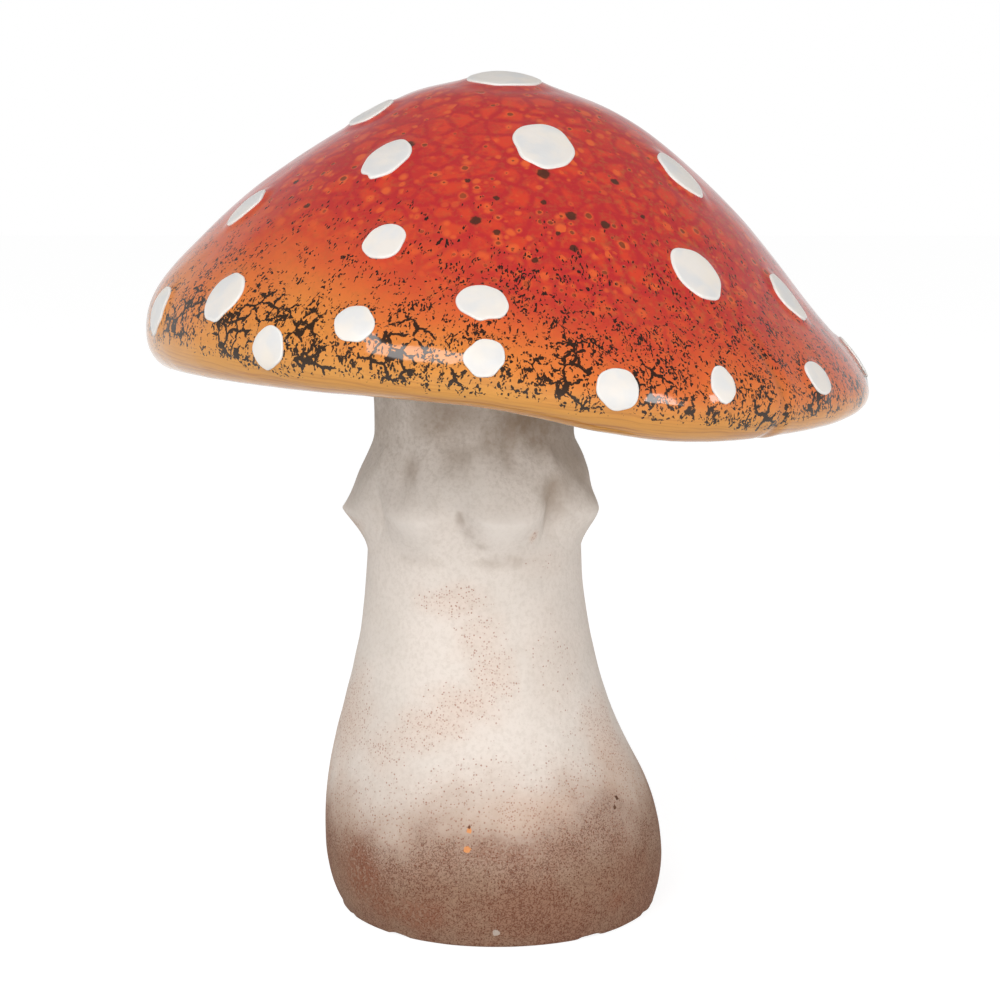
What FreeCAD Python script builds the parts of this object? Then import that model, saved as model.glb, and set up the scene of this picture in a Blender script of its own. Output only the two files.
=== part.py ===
import FreeCAD, Part
import math
import os

# Ceramic toadstool ornament: a glazed cap with raised white dabs on a matt stem with a lobed skirt.
# The cap and the stem are hollow castings.  A disc with moulded gills closes the cap from below, and a hollow
# spigot on top of the stem goes up through that disc into its collar.  All joints are luted with slip.
# Lengths are millimetres and angles are degrees.  The origin is the middle of the flat foot, +Z is up, +X is to
# the viewer's right, and the viewer looks along +Y.  The cap has its own frame, which starts in the middle of
# its widest ring and leans with the cap.  Azimuths run counter-clockwise from +X, seen from above.

Vector = FreeCAD.Vector

# Cap
cap_radius = 102.5
cap_rise = 80.5
cap_wall = 5.0
cap_tilt = 5.5
cap_offset = 2.7
crown_lean = 8.0
rim_height = 157.7
lip_width = 14.5
lip_depth = 11.0
rim_swell = 0.8

# Disc with gills that closes the cap
disc_height = 2.0
disc_thickness = 4.0
collar_wall = 5.5
collar_height = 10.0
gill_count = 60
gill_thickness = 1.5
gill_depth = 3.0
gill_inset = 4.0

# Stem
bulb_radius = 49.6
neck_radius = 29.0
stem_lean = 7.0
stem_wall = 5.0
floor_thickness = 6.0
spigot_radius = 20.0
spigot_length = 16.0
vent_radius = 4.0
vent_offset = 20.0

# Skirt round the neck
skirt_hem = 103.0
skirt_top = 137.0
skirt_thickness = 6.6
skirt_edge = 0.8
skirt_scallop = 9.0

# White dabs
dab_radius = 7.0
dab_height = 1.3
dab_sink = 0.5

# Joints, and the overrun of cuts
lute_gap = 0.3
rim_lute_size = 2.4
neck_lute_size = 3.2
overrun = 2.0

# The cap's outside from the crown to its widest ring.
# Rows: share of the radius, of the rise, of the crown's lean, and of the rim's wave.
CAP_SHARES = (
    (0.05, 0.997, 0.97, 0.00),
    (0.15, 0.965, 0.86, 0.00),
    (0.27, 0.918, 0.70, 0.00),
    (0.37, 0.850, 0.58, 0.00),
    (0.48, 0.755, 0.54, 0.00),
    (0.61, 0.625, 0.58, 0.00),
    (0.74, 0.470, 0.60, 0.00),
    (0.85, 0.315, 0.54, 0.04),
    (0.94, 0.185, 0.38, 0.12),
    (0.985, 0.090, 0.18, 0.20),
    (1.00, 0.000, 0.00, 0.28),
)
# The rolled lip below the widest ring.  Rows: share of the lip's width, of its depth, and of the rim's wave.
LIP_SHARES = (
    (0.08, 0.42, 0.50),
    (0.32, 0.82, 0.82),
    (0.66, 1.00, 1.00),
    (0.95, 0.86, 0.96),
)
# How deep the lip hangs, in equal steps of azimuth.
LIP_DEPTH_SHARES = (
    0.34, 0.38, 0.50, 0.62, 0.70, 0.68, 0.58, 0.50, 0.52, 0.66, 0.84, 0.96,
    1.00, 0.84, 0.72, 0.60, 0.48, 0.35, 0.38, 0.67, 0.79, 0.66, 0.52, 0.39,
)
# How far the hand-fettled rim stands out or in, at the same places.
RIM_SWELL_SHARES = (
    0.5, 0.2, -0.6, -1.0, -0.5, 0.4, 1.0, 0.8, 0.0, -0.8, -0.6, 0.0,
    0.3, 0.5, 0.0, -0.6, -0.9, -0.4, 0.5, 1.0, 0.7, -0.1, -0.6, 0.0,
)
# The stem from its foot to its shoulder.
# Rows: share of the height, share of the way from the neck's to the bulb's radius, share of the lean,
# and share of the cap's tilt.
STEM_COLUMNS = 24
STEM_SHARES = (
    (0.000, 0.81, 0.00, 0.0),
    (0.025, 0.90, 0.08, 0.0),
    (0.060, 0.97, 0.14, 0.0),
    (0.105, 1.00, 0.21, 0.0),
    (0.215, 0.88, 0.49, 0.0),
    (0.330, 0.58, 0.85, 0.0),
    (0.440, 0.32, 0.97, 0.0),
    (0.550, 0.16, 1.00, 0.0),
    (0.660, 0.10, 1.00, 0.1),
    (0.760, 0.05, 1.00, 0.3),
    (0.860, 0.00, 1.00, 0.6),
    (0.940, 0.03, 1.00, 0.9),
    (1.000, 0.10, 1.00, 1.0),
)
# The skirt from its hem to its top.
# Rows: share of the height, share of the thickness between the lobes and on the lobes, share of the scallop.
SKIRT_SHARES = (
    (0.08, 0.00, 0.22, 1.00),
    (0.25, 0.05, 0.75, 0.80),
    (0.36, 0.12, 1.00, 0.50),
    (0.50, 0.25, 0.74, 0.25),
    (0.68, 0.34, 0.54, 0.10),
    (0.84, 0.20, 0.30, 0.00),
    (0.96, 0.05, 0.08, 0.00),
)
# The skirt's lobes.  Rows: azimuth of the middle, half of its spread, share of the thickness.
SKIRT_LOBES = (
    (-172.0, 28.0, 1.20),
    (-121.0, 25.0, 0.85),
    (-73.0, 27.0, 0.95),
    (-16.0, 30.0, 0.95),
    (40.0, 26.0, 0.90),
    (90.0, 26.0, 1.00),
    (138.0, 27.0, 0.85),
)
SKIRT_COLUMNS = 72
LOBE_FULLNESS = 0.7
CLOSING_SHARES = (0.15, 0.4, 0.7)

# The white dabs.  Rows: azimuth, share of the way down to the widest ring, and shares of the dab's radius
# round the cap and down its slope.
DAB_SHARES = {
    "crown": (
        (-96, 0.08, 1.55, 1.50),
    ),
    "upper": (
        (-164, 0.33, 1.20, 1.05),
        (-124, 0.48, 0.85, 1.28),
        (-81, 0.39, 1.18, 1.42),
        (-33, 0.44, 0.90, 1.31),
        (21, 0.42, 1.00, 1.15),
        (72, 0.36, 1.10, 1.20),
        (126, 0.46, 0.90, 1.10),
    ),
    "middle": (
        (-156, 0.66, 0.76, 0.97),
        (-112, 0.70, 0.80, 0.87),
        (-52, 0.71, 1.08, 1.23),
        (-26, 0.76, 0.78, 1.20),
        (10, 0.63, 0.85, 1.00),
        (45, 0.72, 1.00, 1.10),
        (88, 0.65, 0.80, 1.05),
        (120, 0.75, 1.00, 0.95),
        (161, 0.66, 0.90, 1.10),
    ),
    "lower": (
        (-138, 0.88, 0.87, 1.10),
        (-112, 0.90, 0.79, 0.74),
        (-93, 0.82, 0.93, 0.81),
        (24, 0.86, 0.80, 0.95),
        (66, 0.88, 0.95, 0.90),
        (103, 0.87, 0.80, 0.80),
        (143, 0.88, 0.85, 1.00),
        (169, 0.82, 0.80, 0.90),
    ),
    "rim": (
        (-158, 0.94, 0.86, 0.93),
        (-126, 0.97, 0.80, 0.74),
        (-93, 0.94, 0.74, 0.70),
        (-75, 0.97, 0.85, 0.73),
        (-58, 0.95, 0.52, 0.72),
        (-36, 0.94, 0.74, 0.72),
        (-5, 0.92, 0.80, 0.98),
        (46, 0.96, 0.75, 0.70),
        (85, 0.95, 0.80, 0.75),
        (122, 0.97, 0.70, 0.70),
        (163, 0.95, 0.80, 0.80),
    ),
}


def unit_vector(azimuth):
    """The level direction at an azimuth."""
    return Vector(math.cos(math.radians(azimuth)), math.sin(math.radians(azimuth)), 0)


def skin(rings, first=None, last=None):
    """A smooth surface through closed rings of points, which can close to a single point at either end."""
    columns = len(rings[0])
    rows = list(rings)
    if first is not None:
        rows.insert(0, [first] * columns)
    if last is not None:
        rows.append([last] * columns)
    down = [0.0]
    for upper, lower in zip(rows, rows[1:]):
        mean_gap = sum((b - a).Length for a, b in zip(upper, lower)) / columns
        down.append(down[-1] + mean_gap)
    around = [float(column) for column in range(columns + 1)]
    slopes = []
    for column in range(columns):
        slope = Part.BSplineCurve()
        slope.interpolate(Points=[row[column] for row in rows], Parameters=down)
        slopes.append(slope)
    pole_count = slopes[0].NbPoles
    poles = []
    for k in range(1, pole_count + 1):
        if k == 1 and first is not None:
            poles.append([first] * (columns + 1))
            continue
        if k == pole_count and last is not None:
            poles.append([last] * (columns + 1))
            continue
        ring = Part.BSplineCurve()
        ring.interpolate(Points=[slope.getPole(k) for slope in slopes], PeriodicFlag=True, Parameters=around)
        poles.append(ring.getPoles())
    surface = Part.BSplineSurface()
    surface.buildFromPolesMultsKnots(
        [list(line) for line in zip(*poles)],
        ring.getMultiplicities(),
        slopes[0].getMultiplicities(),
        ring.getKnots(),
        slopes[0].getKnots(),
        True,
        False,
        ring.Degree,
        slopes[0].Degree,
    )
    return surface, down


def solid_in_skin(surface, closed_first=True, closed_last=True):
    """The solid inside a skin.  An end that isn't closed to a point gets a flat face."""
    faces = [surface.toShape()]
    start, end = surface.bounds()[2:]
    if not closed_first:
        faces.append(Part.Face(Part.Wire([surface.vIso(start).toShape()])))
    if not closed_last:
        faces.append(Part.Face(Part.Wire([surface.vIso(end).toShape()])))
    shell = Part.makeShell(faces)
    if len(faces) > 1:
        shell.sewShape()
    solid = Part.makeSolid(shell)
    if solid.Volume < 0:
        solid.reverse()
    return solid


# The cap's frame, the place where the neck's axis meets the underside of the disc, and what follows from them
cap_frame = FreeCAD.Placement(Vector(cap_offset, 0, rim_height), FreeCAD.Rotation(Vector(0, 1, 0), cap_tilt))
cap_axis = cap_frame.Rotation.multVec(Vector(0, 0, 1))
tilt = math.radians(cap_tilt)
neck_offset = (cap_offset + stem_lean + disc_height * math.sin(tilt)) / math.cos(tilt)
neck_top = cap_frame.multVec(Vector(-neck_offset, 0, disc_height))
neck_top_radius = neck_radius + (bulb_radius - neck_radius) * STEM_SHARES[-1][1]
bore_radius = cap_radius - lip_width
disc_top = disc_height + disc_thickness


def cap_ring(radius, height, lean_share, wave_share):
    """One ring of the cap, lifted with the wave of the rim."""
    ring = []
    count = len(LIP_DEPTH_SHARES)
    for column in range(count):
        lift = lip_depth * (1 - LIP_DEPTH_SHARES[column])
        reach = radius + rim_swell * wave_share * RIM_SWELL_SHARES[column]
        point = unit_vector(360 * column / count) * reach
        point.x -= crown_lean * lean_share
        point.z = height + lift * wave_share
        ring.append(cap_frame.multVec(point))
    return ring


def cap_rings(wall):
    """The rings of the cap's outside, or of a surface that lies one wall further in."""
    rings = []
    for radius_share, rise_share, lean_share, wave_share in CAP_SHARES:
        radius = (cap_radius - wall) * radius_share
        rings.append(cap_ring(radius, (cap_rise - wall) * rise_share, lean_share, wave_share))
    return rings


def crown_point(wall):
    """The top of the cap's outside, or of a surface that lies one wall further in."""
    return cap_frame.multVec(Vector(-crown_lean, 0, cap_rise - wall))


def rings_to_point(ring, point):
    """Rings that lead straight from a ring towards a point."""
    return [[start + (point - start) * share for start in ring] for share in CLOSING_SHARES]


def outside_of_cap():
    """The cap's outer skin over the crown and round the lip, closed below."""
    rings = cap_rings(0)
    for width_share, depth_share, wave_share in LIP_SHARES:
        radius = cap_radius - lip_width * width_share
        rings.append(cap_ring(radius, -lip_depth * depth_share, 0, wave_share))
    middle = cap_frame.multVec(Vector(0, 0, 0))
    rings += rings_to_point(rings[-1], middle)
    return skin(rings, crown_point(0), middle)


def tilted_cylinder(radius, bottom, top, offset):
    """A cylinder along the cap's axis between two heights in the cap's frame."""
    base = cap_frame.multVec(Vector(-offset, 0, bottom))
    return Part.makeCylinder(radius, top - bottom, base, cap_axis)


def make_cap_shell(cap_body):
    """Slip-cast dome with a rolled lip, open below."""
    middle = cap_frame.multVec(Vector(0, 0, -lip_depth))
    rings = cap_rings(cap_wall)
    rings += rings_to_point(rings[-1], middle)
    hollow, _ = skin(rings, crown_point(cap_wall), middle)
    above_disc = tilted_cylinder(cap_radius + overrun, disc_top, cap_rise, 0)
    cavity = solid_in_skin(hollow).common(above_disc)
    bore = tilted_cylinder(bore_radius, -lip_depth - overrun, disc_top + overrun, 0)
    return cap_body.cut(cavity).cut(bore)


def make_gill_plate():
    """Disc inside the lip, with gills below and a collar above that takes the stem's spigot."""
    socket_radius = spigot_radius + lute_gap
    plate = tilted_cylinder(bore_radius - lute_gap, disc_height, disc_top, 0)
    collar_top = disc_top + collar_height
    plate = plate.fuse(tilted_cylinder(socket_radius + collar_wall, disc_height, collar_top, neck_offset))
    hub_radius = neck_top_radius + neck_lute_size + gill_inset
    gill_zone = tilted_cylinder(bore_radius - rim_lute_size - lute_gap, disc_height - gill_depth, disc_top, 0)
    gills = []
    for index in range(gill_count):
        gill = Part.makeBox(2 * cap_radius, gill_thickness, gill_depth + disc_thickness / 2)
        gill.translate(Vector(hub_radius, -gill_thickness / 2, disc_height - gill_depth))
        gill.rotate(Vector(0, 0, 0), Vector(0, 0, 1), 360 * index / gill_count)
        gill.translate(Vector(-neck_offset, 0, 0))
        gill.Placement = cap_frame.multiply(gill.Placement)
        gills.append(gill.common(gill_zone))
    plate = plate.multiFuse(gills)
    socket = tilted_cylinder(socket_radius, disc_height - overrun, collar_top + overrun, neck_offset)
    return plate.cut(socket)


def bead(radius, size, offset, outward):
    """A quarter-round ring under the disc, outward or inward from a radius, with a root behind that radius."""
    corner = Vector(radius, 0, disc_height)
    side = Vector(size * outward, 0, 0)
    root = Vector(-overrun * outward, 0, 0)
    down = Vector(0, 0, -size)
    round_middle = corner + (side + down) * math.sqrt(0.5)
    edges = [
        Part.makeLine(corner + root, corner + side),
        Part.Arc(corner + side, round_middle, corner + down).toShape(),
        Part.makeLine(corner + down, corner + down + root),
        Part.makeLine(corner + down + root, corner + root),
    ]
    ring = Part.Face(Part.Wire(edges)).revolve(Vector(0, 0, 0), Vector(0, 0, 1), 360)
    ring.translate(Vector(-offset, 0, 0))
    ring.Placement = cap_frame.multiply(ring.Placement)
    return ring


def make_rim_lute():
    """Bead of slip in the corner between the lip's bore and the underside of the disc."""
    inside_bore = tilted_cylinder(bore_radius, -lip_depth, disc_height, 0)
    return bead(bore_radius, rim_lute_size, 0, -1).common(inside_bore)


def make_neck_lute(stem_body):
    """Bead of slip in the corner between the neck and the underside of the disc."""
    return bead(neck_top_radius, neck_lute_size, neck_offset, 1).cut(stem_body)


def stem_ring(centre, radius, turn):
    """One round ring of the stem, turned with the cap by an angle."""
    frame = FreeCAD.Placement(centre, FreeCAD.Rotation(Vector(0, 1, 0), turn))
    return [frame.multVec(unit_vector(360 * column / STEM_COLUMNS) * radius) for column in range(STEM_COLUMNS)]


def solid_stem(wall):
    """The solid inside the stem's skin, or inside a skin one wall further in."""
    rings = []
    for height_share, radius_share, lean_share, tilt_share in STEM_SHARES:
        centre = Vector(-stem_lean * lean_share, 0, neck_top.z * height_share)
        radius = neck_radius + (bulb_radius - neck_radius) * radius_share
        rings.append(stem_ring(centre, radius - wall, cap_tilt * tilt_share))
    surface, _ = skin(rings)
    return solid_in_skin(surface, closed_first=False, closed_last=False)


def make_stem_shell(stem_body):
    """Slip-cast hollow stem with a closed, vented foot and a spigot that stands up from its shoulder."""
    spigot_top = disc_height + spigot_length
    spigot = tilted_cylinder(spigot_radius, disc_height - stem_wall, spigot_top, neck_offset)
    floor = Part.makeCylinder(bulb_radius + overrun, floor_thickness)
    shoulder = tilted_cylinder(bulb_radius, disc_height - stem_wall, disc_height + overrun, neck_offset)
    cavity = solid_stem(stem_wall).cut(floor).cut(shoulder)
    bore_start = disc_height - stem_wall - overrun
    bore = tilted_cylinder(spigot_radius - stem_wall, bore_start, spigot_top + overrun, neck_offset)
    vent = Part.makeCylinder(vent_radius, floor_thickness + 2 * overrun, Vector(0, vent_offset, -overrun))
    return stem_body.fuse(spigot).cut(cavity).cut(bore).cut(vent)


def stem_section(height):
    """The stem's middle and radius at a height."""
    share = height / neck_top.z
    for lower, upper in zip(STEM_SHARES, STEM_SHARES[1:]):
        if share <= upper[0]:
            break
    way = (share - lower[0]) / (upper[0] - lower[0])
    radius_share = lower[1] + (upper[1] - lower[1]) * way
    lean_share = lower[2] + (upper[2] - lower[2]) * way
    radius = neck_radius + (bulb_radius - neck_radius) * radius_share
    return Vector(-stem_lean * lean_share, 0, height), radius


def lobe_at(azimuth):
    """The fullness of the skirt's lobes at an azimuth, plain and weighted with the lobe's own thickness."""
    fullness = 0.0
    weighted = 0.0
    for middle, spread, thickness_share in SKIRT_LOBES:
        distance = abs((azimuth - middle + 180) % 360 - 180)
        if distance < spread:
            here = math.cos(math.pi / 2 * distance / spread) ** LOBE_FULLNESS
            fullness = max(fullness, here)
            weighted = max(weighted, here * thickness_share)
    return fullness, weighted


def make_skirt_collar(stem_body):
    """Ring of clay round the neck that hangs in lobes, with creases between them."""
    rings = []
    for height_share, plain_share, lobed_share, scallop_share in SKIRT_SHARES:
        ring = []
        for column in range(SKIRT_COLUMNS):
            azimuth = 360 * column / SKIRT_COLUMNS
            fullness, weighted = lobe_at(azimuth)
            height = skirt_hem + (skirt_top - skirt_hem) * height_share
            height += skirt_scallop * scallop_share * (1 - fullness)
            middle, radius = stem_section(height)
            body_share = plain_share + (lobed_share - plain_share) * weighted
            thickness = skirt_edge + (skirt_thickness - skirt_edge) * body_share
            ring.append(middle + unit_vector(azimuth) * (radius + thickness))
        rings.append(ring)
    bottom, _ = stem_section(skirt_hem)
    top, _ = stem_section(skirt_top)
    below = rings_to_point(rings[0], bottom)
    above = rings_to_point(rings[-1], top)
    surface, _ = skin(below[::-1] + rings + above, bottom, top)
    return solid_in_skin(surface).cut(stem_body)


def make_dab(cap_skin, widest, cap_body, azimuth, down_share, across_share, slope_share):
    """A thick dab of slip: what stands out of the cap of a flattened ball."""
    around = azimuth % 360 / 360 * len(LIP_DEPTH_SHARES)
    middle = cap_skin.value(around, widest * down_share)
    across, slope = cap_skin.tangent(around, widest * down_share)
    outward = slope.cross(across).normalize()
    slope = across.cross(outward)
    bend = abs(cap_skin.curvature(around, widest * down_share, "Mean"))
    sag = bend * (dab_radius * (across_share + slope_share) / 2) ** 2 / 2
    half_height = dab_height + dab_sink + sag
    spread = dab_radius / math.sqrt(1 - (dab_sink / half_height) ** 2)
    centre = middle - outward * (dab_sink + sag)
    half_axes = (across * (spread * across_share), slope * (spread * slope_share), outward * half_height)
    matrix = FreeCAD.Matrix()
    for column, half_axis in enumerate(half_axes):
        matrix.setCol(column, half_axis)
    matrix.setCol(3, centre)
    return Part.makeSphere(1).transformGeometry(matrix).cut(cap_body)


def write(name, shape):
    """Write one piece, which is one solid."""
    if shape.ShapeType != "Solid":
        shape = shape.Solids[0]
    shape.exportStep("parts/" + name + ".step")


os.makedirs("parts", exist_ok=True)

cap_skin, cap_down = outside_of_cap()
widest = cap_down[len(CAP_SHARES)]
cap_body = solid_in_skin(cap_skin)
stem_body = solid_stem(0)

write("cap_shell", make_cap_shell(cap_body))
write("gill_plate", make_gill_plate())
write("rim_lute", make_rim_lute())
write("stem_shell", make_stem_shell(stem_body))
write("neck_lute", make_neck_lute(stem_body))
write("skirt_collar", make_skirt_collar(stem_body))
for band, dabs in DAB_SHARES.items():
    for index, dab in enumerate(dabs):
        name = "dab_" + band
        if len(dabs) > 1:
            name += "_" + str(index + 1)
        write(name, make_dab(cap_skin, widest, cap_body, *dab))
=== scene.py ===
import math

import bpy
import numpy as np
from mathutils import Matrix, Vector, noise
from mathutils.bvhtree import BVHTree


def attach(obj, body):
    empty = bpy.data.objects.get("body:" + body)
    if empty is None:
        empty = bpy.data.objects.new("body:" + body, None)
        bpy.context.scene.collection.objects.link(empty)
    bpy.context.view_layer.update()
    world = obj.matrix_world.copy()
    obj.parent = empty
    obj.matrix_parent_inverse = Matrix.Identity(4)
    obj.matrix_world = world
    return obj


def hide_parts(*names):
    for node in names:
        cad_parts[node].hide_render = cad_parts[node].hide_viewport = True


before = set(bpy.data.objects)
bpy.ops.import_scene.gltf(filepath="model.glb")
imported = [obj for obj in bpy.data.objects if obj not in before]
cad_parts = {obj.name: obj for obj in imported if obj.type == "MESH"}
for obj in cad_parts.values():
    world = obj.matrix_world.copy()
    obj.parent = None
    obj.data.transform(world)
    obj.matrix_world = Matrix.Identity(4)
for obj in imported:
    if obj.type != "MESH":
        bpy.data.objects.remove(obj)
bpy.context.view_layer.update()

scene = bpy.context.scene
scene.view_settings.view_transform = "Standard"

# The camera stands in front of the ornament, a little below the crown of its cap, and looks slightly down.
camera_place = (0.0004, -0.630, 0.214)
camera_pitch = 8.67
camera_lens = 79.6

camera_data = bpy.data.cameras.new("camera")
camera_data.lens = camera_lens
camera_data.sensor_width = 36.0
camera = bpy.data.objects.new("camera", camera_data)
camera.location = camera_place
camera.rotation_euler = (math.radians(90 - camera_pitch), 0, 0)
scene.collection.objects.link(camera)
scene.camera = camera

# The studio is a white sweep in a white room that is dimmer overhead, with a wide softbox high in front to
# the left, a small one to the right and a large weak one level with the stem.
floor_half = 6.0
floor_white = (0.80, 0.80, 0.80, 1)
shown_white = (0.30, 0.30, 0.30, 1)
shown_glow = 0.86
wall_strength = 0.85
ceiling_strength = 0.36
wall_top = 0.10
ceiling_edge = 0.60
softbox_aim = Vector((0.0, 0.0, 0.17))
softboxes = {
    # place, width, height, watts
    "softbox_left": ((-0.72, -1.30, 1.34), 1.35, 0.55, 16.3),
    "softbox_right": ((1.05, -1.00, 0.42), 0.30, 0.50, 5.0),
    "softbox_front": ((-0.28, -1.80, 0.16), 1.50, 0.80, 9.2),
}


def node(tree, kind, inputs=None, **settings):
    """A node with its settings.  Its inputs are values or other nodes' outputs."""
    made = tree.nodes.new(kind)
    for name, value in settings.items():
        setattr(made, name, value)
    for name, value in (inputs or {}).items():
        if isinstance(value, bpy.types.NodeSocket):
            tree.links.new(value, made.inputs[name])
        else:
            made.inputs[name].default_value = value
    return made


def new_material(name):
    """An empty node material, its tree and its output."""
    material = bpy.data.materials.new(name)
    material.use_nodes = True
    material.node_tree.nodes.clear()
    return material, material.node_tree, node(material.node_tree, "ShaderNodeOutputMaterial")


def show_background(tree, plain, shown, output):
    """The plain shader lights the object, and the shown one is what the camera, gloss and glass see."""
    rays = node(tree, "ShaderNodeLightPath")
    seen = rays.outputs["Is Camera Ray"]
    for kind in ("Is Glossy Ray", "Is Transmission Ray"):
        seen = node(tree, "ShaderNodeMath", {0: seen, 1: rays.outputs[kind]}, operation="MAXIMUM").outputs[0]
    mix = node(tree, "ShaderNodeMixShader", {0: seen, 1: plain.outputs[0], 2: shown.outputs[0]})
    tree.links.new(mix.outputs[0], output.inputs["Surface"])
    return rays


corners = [(x * floor_half, y * floor_half, 0) for x, y in ((-1, -1), (1, -1), (1, 1), (-1, 1))]
floor_mesh = bpy.data.meshes.new("floor")
floor_mesh.from_pydata(corners, [], [(0, 1, 2, 3)])
floor = bpy.data.objects.new("floor", floor_mesh)
scene.collection.objects.link(floor)
material, tree, output = new_material("white sweep")
paint = node(tree, "ShaderNodeBsdfDiffuse", {"Color": floor_white})
thin_paint = node(tree, "ShaderNodeBsdfDiffuse", {"Color": shown_white})
glow = node(tree, "ShaderNodeEmission", {"Color": (1, 1, 1, 1), "Strength": shown_glow})
bright = node(tree, "ShaderNodeAddShader", {0: thin_paint.outputs[0], 1: glow.outputs[0]})
show_background(tree, paint, bright, output)
floor_mesh.materials.append(material)

world = bpy.data.worlds.new("white studio")
scene.world = world
world.use_nodes = True
tree = world.node_tree
tree.nodes.clear()
output = node(tree, "ShaderNodeOutputWorld")
way = node(tree, "ShaderNodeTexCoord")
height = node(tree, "ShaderNodeSeparateXYZ", {0: way.outputs["Generated"]})
room = node(tree, "ShaderNodeMapRange", {
    "Value": height.outputs["Z"], "From Min": wall_top, "From Max": ceiling_edge,
    "To Min": wall_strength, "To Max": ceiling_strength,
})
sky = node(tree, "ShaderNodeBackground", {"Color": (1, 1, 1, 1), "Strength": room.outputs[0]})
wall = node(tree, "ShaderNodeBackground", {"Color": (1, 1, 1, 1)})
rays = show_background(tree, sky, wall, output)
lit = {0: room.outputs[0], 1: rays.outputs["Is Camera Ray"]}
brightness = node(tree, "ShaderNodeMath", lit, operation="MAXIMUM")
tree.links.new(brightness.outputs[0], wall.inputs["Strength"])

for name, (place, width, height, power) in softboxes.items():
    lamp = bpy.data.lights.new(name, "AREA")
    lamp.shape = "RECTANGLE"
    lamp.size = width
    lamp.size_y = height
    lamp.energy = power
    box = bpy.data.objects.new(name, lamp)
    box.location = place
    box.rotation_euler = (softbox_aim - Vector(place)).to_track_quat("-Z", "Y").to_euler()
    box.visible_glossy = name != "softbox_front"
    scene.collection.objects.link(box)

# The cap is a hollow dome cast in slip, with low mounds under the white dabs and a rolled lip that waves
# where it was fettled by hand.  Its thick gloss glaze runs from deep red through orange to ochre, with oil
# spots above, a broken black crackle below and a pale line where it draws back from the edge.
cap_middle = Vector((0.0027, 0.0, 0.1577))
cap_tilt = 5.5
cap_wall = 0.005
disc_top = 0.006
bore_radius = 0.088
lip_radius = 0.093
cap_columns = 480
cap_rows = 150
cap_profile = (
    # radius and height over the widest ring, from the crown down
    (0.0000, 0.0805), (0.0158, 0.0776), (0.0380, 0.0684), (0.0625, 0.0503), (0.0755, 0.0380),
    (0.0873, 0.0255), (0.0963, 0.0150), (0.1010, 0.0075), (0.1025, 0.0010),
)
lip_profile = (
    # radius, and share of the depth of the lip at that azimuth
    (0.1015, 0.35), (0.0985, 0.75), (0.0935, 1.00), (0.0895, 0.90), (0.0884, 0.80),
)
dab_nodes = sorted(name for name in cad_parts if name.startswith("dab_"))
mound_height = 0.0006
mound_flat = 0.75
mound_spread = 1.45
mound_reach = 0.012
hand_wave = 0.0003
seam_azimuth = -50.0
seam_depth = 0.00035
seam_start = 0.66
seam_fade = 0.14
dome_start = 0.006
dome_step = 6
inside_down = 1.3
inside_edge = -0.02
lay_radius = 0.1
crackle_top = 0.055
crackle_fade = 0.040
crackle_spread = 0.20
crackled_places = (
    # azimuth, height above the lip's lowest line, reach, strength
    (-150, 0.017, 0.0078, 0.85), (-134, 0.019, 0.0078, 1), (-131, 0.01, 0.0055, 0.9),
    (-118, 0.013, 0.0062, 0.95), (-107, 0.019, 0.0094, 0.9), (-98, 0.012, 0.0031, 0.9),
    (-92, 0.012, 0.0031, 0.9), (-83, 0.0195, 0.0101, 0.6), (-82, 0.0115, 0.0062, 0.9),
    (-70, 0.0175, 0.0062, 0.95), (-68, 0.0085, 0.0047, 1), (-63, 0.0115, 0.0055, 1), (-50, 0.01, 0.0086, 1),
    (-38, 0.013, 0.0078, 0.95), (-20, 0.014, 0.0055, 0.9), (-122, 0.022, 0.0078, 0.6),
    (-142, 0.024, 0.0078, 0.6), (-148, 0.026, 0.006, 0.75), (-130, 0.026, 0.007, 0.75),
    (-8, 0.012, 0.008, 0.9), (5, 0.014, 0.0078, 0.75), (22, 0.018, 0.0086, 0.9), (38, 0.01, 0.0062, 0.8),
    (55, 0.016, 0.0078, 0.85), (71, 0.012, 0.007, 0.8), (88, 0.019, 0.0078, 0.9), (104, 0.01, 0.0062, 0.8),
    (121, 0.017, 0.0086, 0.85), (139, 0.012, 0.007, 0.9), (156, 0.018, 0.0078, 0.8),
    (172, 0.012, 0.007, 0.85), (187, 0.015, 0.0078, 0.8),
)

cap_frame = Matrix.Translation(cap_middle) @ Matrix.Rotation(math.radians(cap_tilt), 4, "Y")
cap_turn = cap_frame.to_3x3()


def surface_of(*names):
    """The surface of CAD pieces, for laying a finished skin on it."""
    vertices = []
    faces = []
    for name in names:
        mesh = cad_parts[name].data
        start = len(vertices)
        vertices += [v.co.copy() for v in mesh.vertices]
        faces += [[start + k for k in p.vertices] for p in mesh.polygons]
    return BVHTree.FromPolygons(vertices, faces)


def soften_down(field, passes=1):
    """Evens out rows of values from each row to the next."""
    for _ in range(passes):
        longer = np.concatenate((field[:1], field, field[-1:]))
        field = (longer[:-2] + 2 * longer[1:-1] + longer[2:]) / 4
    return field


def soften(field, passes):
    """Evens out rows of values that close round."""
    for _ in range(passes):
        field = soften_down((np.roll(field, 1, 1) + 2 * field + np.roll(field, -1, 1)) / 4)
    return field


def smooth_step(share):
    """A share from 0 to 1 with a soft start and end."""
    return share * share * (3 - 2 * share)


def turn_from(azimuth, middle):
    """How many degrees an azimuth is from another one, from -180 to 180."""
    return (azimuth - middle + 180) % 360 - 180


def circle(turns, radius=1.0, height=0.0):
    """Points on a level circle."""
    return np.stack((radius * np.cos(turns), radius * np.sin(turns), 0 * turns + height), axis=1)


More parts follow.
